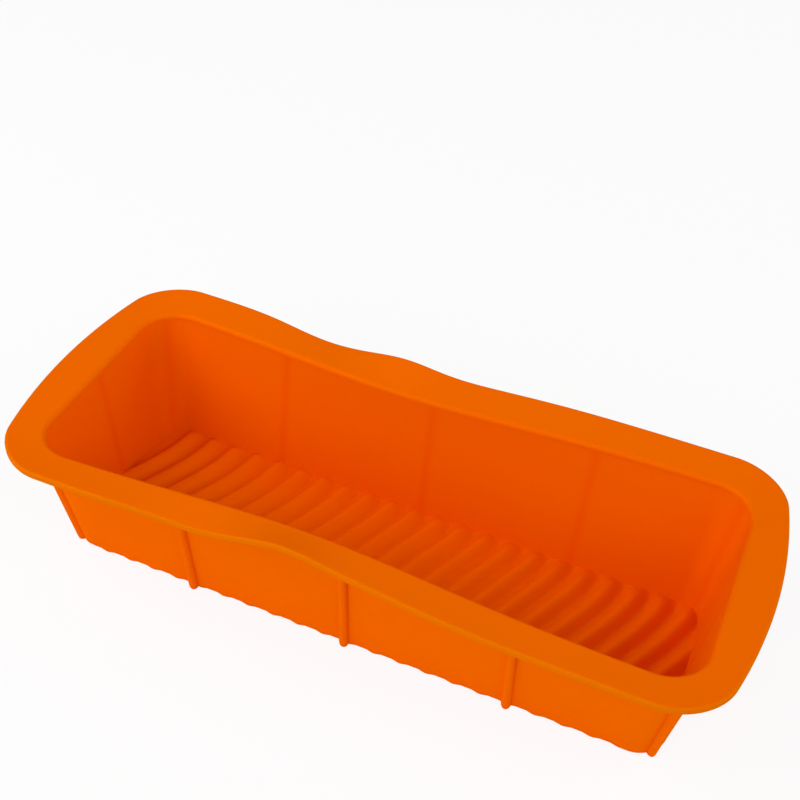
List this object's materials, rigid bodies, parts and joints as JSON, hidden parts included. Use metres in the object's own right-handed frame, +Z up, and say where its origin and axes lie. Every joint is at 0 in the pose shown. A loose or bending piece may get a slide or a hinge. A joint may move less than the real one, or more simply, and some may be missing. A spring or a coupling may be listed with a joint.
{
  "type": "silicone loaf pan",
  "caption": "Long silicone loaf pan with a broad flanged rim, waisted sides, upright outside ribs and a floor of wavy cross ridges.",
  "frame": {"origin": "middle of the pan at the level its underside rests on", "axes": "+X along the pan, +Y across it away from the viewer of the picture, +Z up out of the opening"},
  "size_m": [0.29, 0.126, 0.0657],
  "materials": {
    "silicone": "satin orange silicone, moulded, slightly translucent"
  },
  "bodies": {
    "root": {"corner_bead_back_left": "silicone", "corner_bead_back_right": "silicone", "corner_bead_front_left": "silicone", "corner_bead_front_right": "silicone", "end_rib_left": "silicone", "end_rib_right": "silicone", "floor_panel": "silicone", "floor_ridge_01": "silicone", "floor_ridge_02": "silicone", "floor_ridge_03": "silicone", "floor_ridge_04": "silicone", "floor_ridge_05": "silicone", "floor_ridge_06": "silicone", "floor_ridge_07": "silicone", "floor_ridge_08": "silicone", "floor_ridge_09": "silicone", "floor_ridge_10": "silicone", "floor_ridge_11": "silicone", "floor_ridge_12": "silicone", "floor_ridge_13": "silicone", "floor_ridge_14": "silicone", "floor_ridge_15": "silicone", "floor_ridge_16": "silicone", "floor_ridge_17": "silicone", "floor_ridge_18": "silicone", "floor_ridge_19": "silicone", "floor_ridge_20": "silicone", "floor_ridge_21": "silicone", "floor_ridge_22": "silicone", "floor_ridge_23": "silicone", "rim_back": "silicone", "rim_corner_back_left": "silicone", "rim_corner_back_right": "silicone", "rim_corner_front_left": "silicone", "rim_corner_front_right": "silicone", "rim_front": "silicone", "rim_left": "silicone", "rim_right": "silicone", "side_rib_back_left": "silicone", "side_rib_back_middle": "silicone", "side_rib_back_right": "silicone", "side_rib_front_left": "silicone", "side_rib_front_middle": "silicone", "side_rib_front_right": "silicone", "wall_back": "silicone", "wall_corner_back_left": "silicone", "wall_corner_back_right": "silicone", "wall_corner_front_left": "silicone", "wall_corner_front_right": "silicone", "wall_front": "silicone", "wall_left": "silicone", "wall_right": "silicone"}
  },
  "joints": []
}
